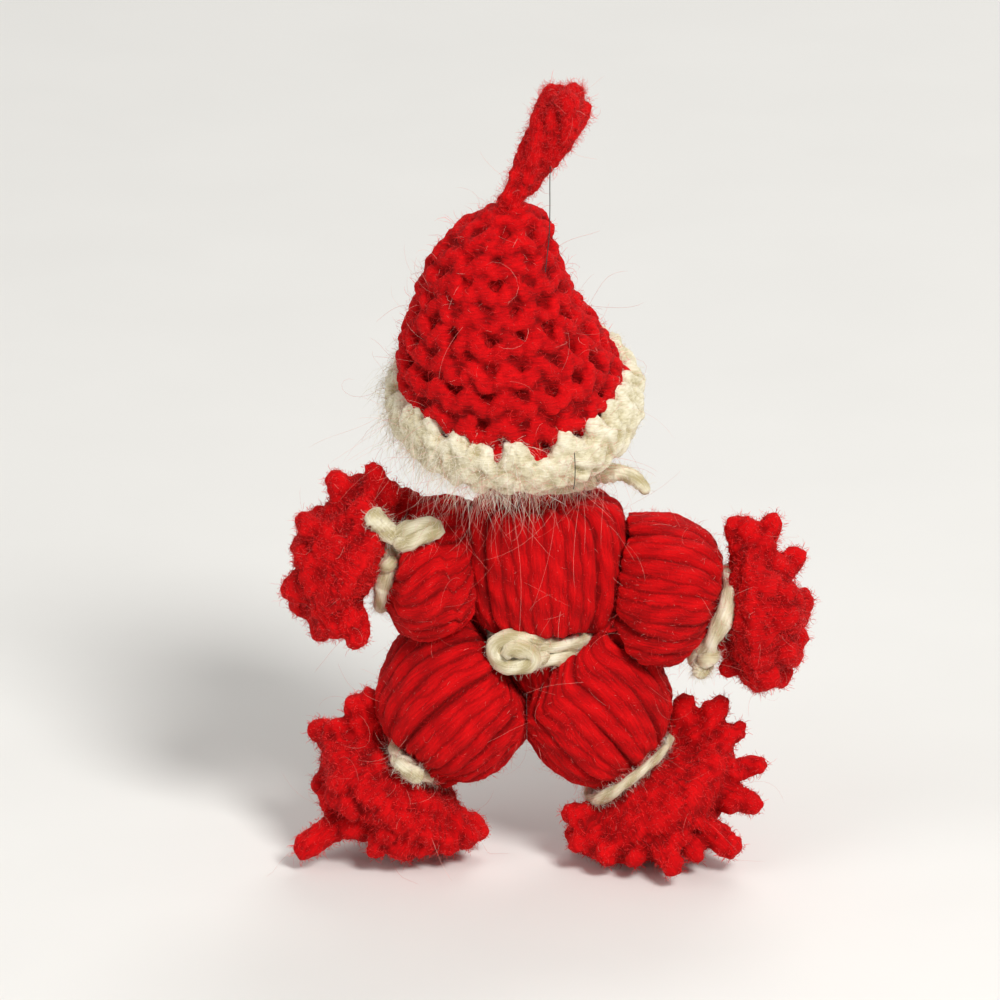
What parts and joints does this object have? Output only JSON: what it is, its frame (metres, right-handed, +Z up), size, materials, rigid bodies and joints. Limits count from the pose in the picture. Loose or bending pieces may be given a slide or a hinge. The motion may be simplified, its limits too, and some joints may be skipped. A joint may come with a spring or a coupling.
{
  "type": "yarn doll",
  "caption": "Small standing doll of tied yarn: puffed torso, arms and legs with cut-end hands and feet, and a wound head under a crocheted pointed cap with a yarn tail.",
  "frame": {"origin": "centre of the doll's outer box, on the table that its feet stand on", "axes": "+Z up, +Y out of the face, -Y out of the back that the picture shows, +X to the doll's right hand as seen from behind"},
  "size_m": [0.0769, 0.0362, 0.1214],
  "materials": {
    "red_yarn": "fuzzy worsted yarn",
    "cream_yarn": "fuzzy worsted yarn",
    "black_bead": "gloss"
  },
  "bodies": {
    "torso": {"torso_hank": "red_yarn", "arm_hank_core": "red_yarn", "waist_tie": "cream_yarn"},
    "neck": {"neck_tie": "cream_yarn"},
    "head": {"head_ball": "cream_yarn", "eye_right": "black_bead", "eye_left": "black_bead", "hat": "red_yarn", "hat_trim": "cream_yarn"},
    "tail": {"hat_tail": "red_yarn"},
    "arm_right": {"arm_right": "red_yarn", "wrist_tie_right": "cream_yarn"},
    "arm_left": {"arm_left": "red_yarn", "wrist_tie_left": "cream_yarn"},
    "hand_right": {"hand_right": "red_yarn"},
    "hand_left": {"hand_left": "red_yarn"},
    "leg_right": {"leg_right": "red_yarn", "ankle_tie_right": "cream_yarn"},
    "leg_left": {"leg_left": "red_yarn", "ankle_tie_left": "cream_yarn"},
    "foot_right": {"foot_right": "red_yarn"},
    "foot_left": {"foot_left": "red_yarn"}
  },
  "joints": [
    {"name": "neck_nod", "type": "hinge", "parent": "torso", "child": "neck", "pos_m": [0, 0, 0.059], "axis": [-1, 0, 0], "range_deg": [-12, 18]},
    {"name": "head_turn", "type": "hinge", "parent": "neck", "child": "head", "pos_m": [0, 0, 0.059], "axis": [0, 0, 1], "range_deg": [-45, 45]},
    {"name": "tail_flop", "type": "hinge", "parent": "head", "child": "tail", "pos_m": [-0.005, -0.005, 0.1041], "axis": [0, 1, 0], "range_deg": [-50, 20]},
    {"name": "arm_right_raise", "type": "hinge", "parent": "torso", "child": "arm_right", "pos_m": [0.0105, 0, 0.0432], "axis": [0, -1, 0], "range_deg": [0, 25]},
    {"name": "arm_left_raise", "type": "hinge", "parent": "torso", "child": "arm_left", "pos_m": [-0.0105, 0, 0.0432], "axis": [0, 1, 0], "range_deg": [0, 12]},
    {"name": "wrist_right_bend", "type": "hinge", "parent": "arm_right", "child": "hand_right", "pos_m": [0.025, 0, 0.0364], "axis": [0.3256, 0, 0.9455], "range_deg": [-10, 10]},
    {"name": "wrist_left_bend", "type": "hinge", "parent": "arm_left", "child": "hand_left", "pos_m": [-0.0232, 0, 0.0413], "axis": [0.1908, 0, 0.9816], "range_deg": [-10, 10]},
    {"name": "hip_right_swing", "type": "hinge", "parent": "torso", "child": "leg_right", "pos_m": [0, 0, 0.031], "axis": [1, 0, 0], "range_deg": [-25, 25]},
    {"name": "hip_left_swing", "type": "hinge", "parent": "torso", "child": "leg_left", "pos_m": [0, 0, 0.031], "axis": [1, 0, 0], "range_deg": [-25, 25]},
    {"name": "ankle_right_bend", "type": "hinge", "parent": "leg_right", "child": "foot_right", "pos_m": [0.0121, 0, 0.0138], "axis": [0.7986, 0, 0.6018], "range_deg": [-10, 10]},
    {"name": "ankle_left_bend", "type": "hinge", "parent": "leg_left", "child": "foot_left", "pos_m": [-0.0181, 0, 0.0148], "axis": [0.788, 0, -0.6157], "range_deg": [-10, 10]}
  ]
}
